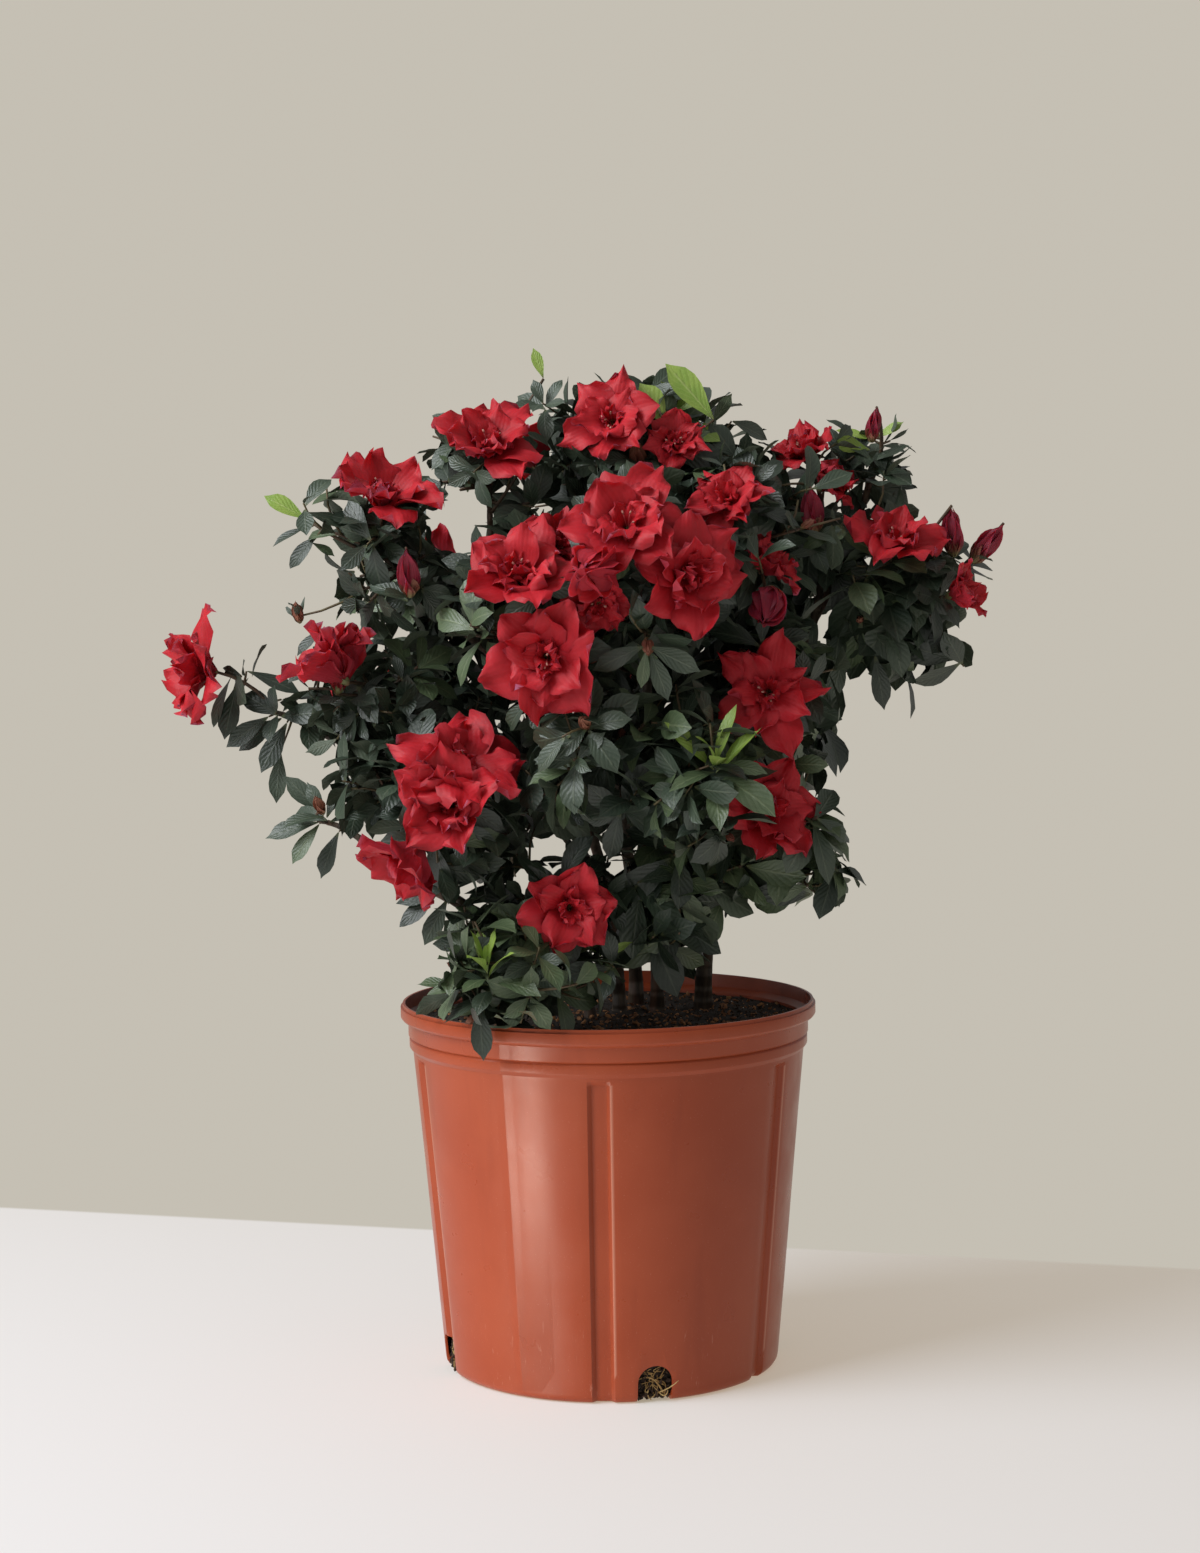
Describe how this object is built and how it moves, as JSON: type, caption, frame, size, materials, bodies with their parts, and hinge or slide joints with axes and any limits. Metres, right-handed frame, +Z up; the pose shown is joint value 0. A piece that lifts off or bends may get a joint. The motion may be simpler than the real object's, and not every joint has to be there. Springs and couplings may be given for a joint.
{
  "type": "potted azalea shrub",
  "caption": "Azalea shrub in full bloom with ruffled red flowers, on slender stems that rise from the potting mix in a round, ribbed, terracotta-coloured nursery pot.",
  "frame": {"origin": "centre of the pot's flat underside, which stands on the ground", "axes": "+Z up the plant, -Y towards its front, +X to the right as seen from the front"},
  "size_m": [0.5633, 0.3824, 0.6769],
  "materials": {
    "pot": "satin moulded terracotta-coloured polypropylene",
    "potting_mix": "damp dark potting mix with bits of bark",
    "bark": "rough dark brown bark",
    "foliage": "satin dark green leaves, with red double blooms, crimson buds and pale young shoots"
  },
  "bodies": {
    "root": {"pot": "pot", "potting_mix": "potting_mix", "right_stem": "bark", "middle_stem": "bark", "left_stem": "bark", "low_stem": "bark", "back_stem": "bark", "bough_back_left": "bark", "bough_back_low_left": "bark", "bough_back_low_right": "bark", "bough_back_middle": "bark", "bough_back_right": "bark", "bough_back_upper_left": "bark", "bough_back_upper_right": "bark", "bough_centre_low": "bark", "bough_front_right": "bark", "bough_heart_left": "bark", "bough_heart_middle": "bark", "bough_heart_right": "bark", "bough_left": "bark", "bough_left_arm": "bark", "bough_left_low_tip": "bark", "bough_left_shoulder": "bark", "bough_low_middle": "bark", "bough_low_right": "bark", "bough_pot_edge_left": "bark", "bough_right": "bark", "bough_right_arm": "bark", "bough_right_high_tip": "bark", "bough_right_low": "bark", "foliage_back_left": "foliage", "foliage_back_low_left": "foliage", "foliage_back_low_right": "foliage", "foliage_back_middle": "foliage", "foliage_back_right": "foliage", "foliage_back_top": "foliage", "foliage_back_upper_left": "foliage", "foliage_back_upper_right": "foliage", "foliage_centre_low": "foliage", "foliage_crown_top": "foliage", "foliage_front_right": "foliage", "foliage_heart_left": "foliage", "foliage_heart_middle": "foliage", "foliage_heart_right": "foliage", "foliage_left": "foliage", "foliage_left_arm": "foliage", "foliage_left_low_tip": "foliage", "foliage_left_shoulder": "foliage", "foliage_low_middle": "foliage", "foliage_low_right": "foliage", "foliage_lower_left": "foliage", "foliage_pot_edge_left": "foliage", "foliage_right": "foliage", "foliage_right_arm": "foliage", "foliage_right_high_tip": "foliage", "foliage_right_low": "foliage", "foliage_right_shoulder": "foliage", "foliage_upper_left": "foliage"}
  },
  "joints": []
}
